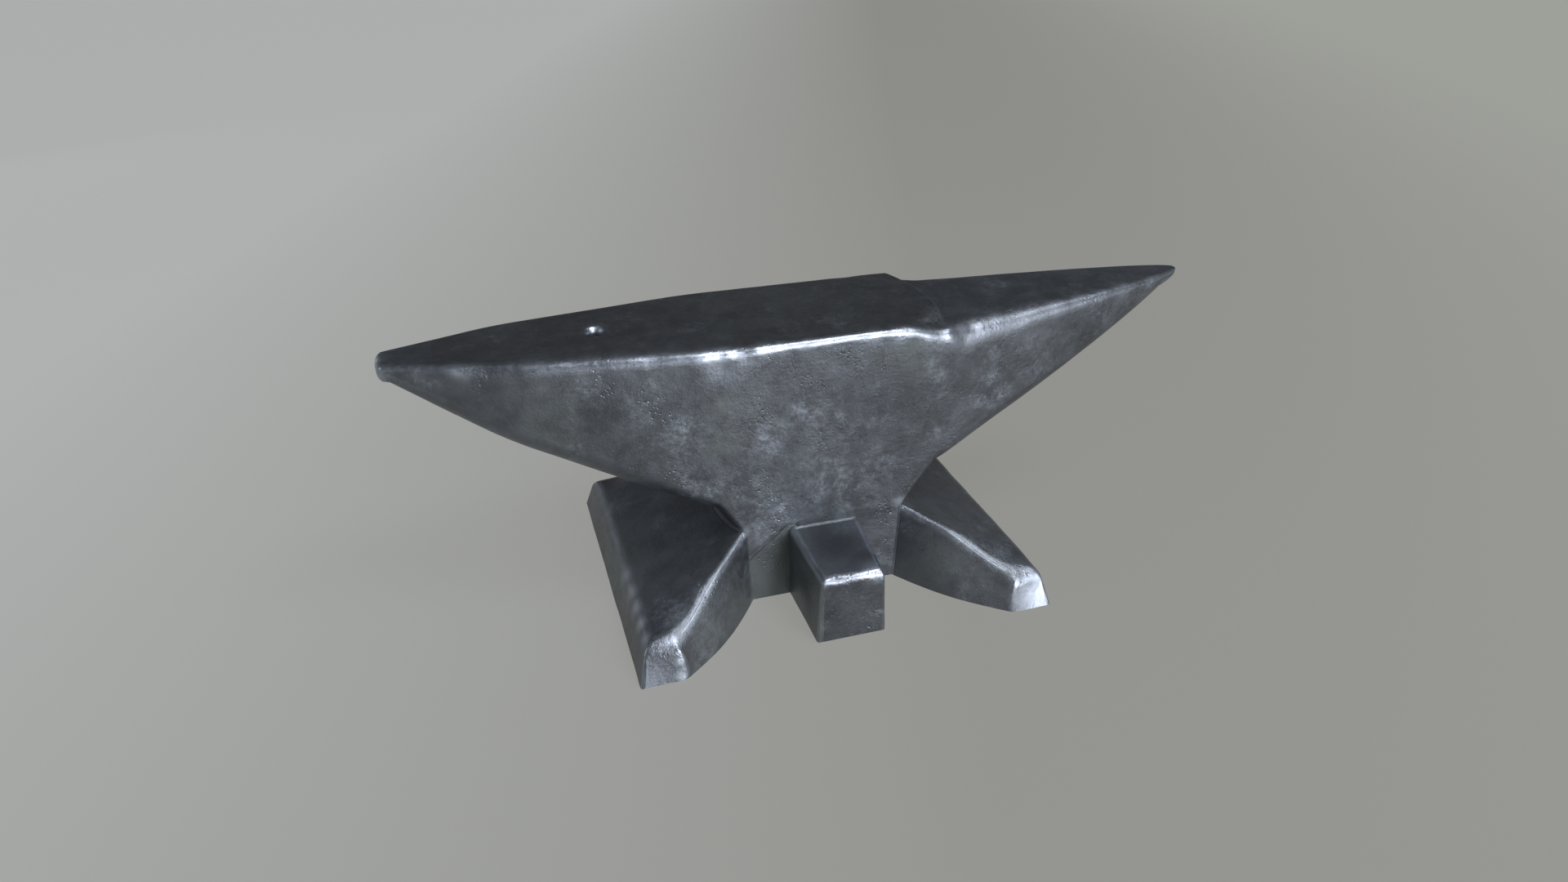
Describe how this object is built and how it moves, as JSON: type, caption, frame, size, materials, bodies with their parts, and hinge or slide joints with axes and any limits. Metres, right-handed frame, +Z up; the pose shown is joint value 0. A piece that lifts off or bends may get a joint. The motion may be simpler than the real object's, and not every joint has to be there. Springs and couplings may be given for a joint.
{
  "type": "double-horn anvil",
  "caption": "Squat forged anvil with a flat-topped horn, a pointed horn, a steel face, splayed feet and an upsetting block on the front of the base.",
  "frame": {"origin": "centre of the base's underside, on the floor", "axes": "+X along the horns towards the round horn, -Y towards the upsetting block, +Z up out of the working face"},
  "size_m": [0.6987, 0.292, 0.241],
  "materials": {
    "forged_iron": "dark forged scale, satin, worn bright on the edges",
    "face_steel": "dark hardened steel, satin, hammer-worn edges"
  },
  "bodies": {
    "root": {"body_core": "forged_iron", "face_plate": "face_steel", "flat_horn": "forged_iron", "flat_horn_plate": "face_steel", "round_horn": "forged_iron", "base_core": "forged_iron", "front_left_foot": "forged_iron", "front_right_foot": "forged_iron", "rear_left_foot": "forged_iron", "rear_right_foot": "forged_iron", "upsetting_block": "forged_iron"}
  },
  "joints": []
}
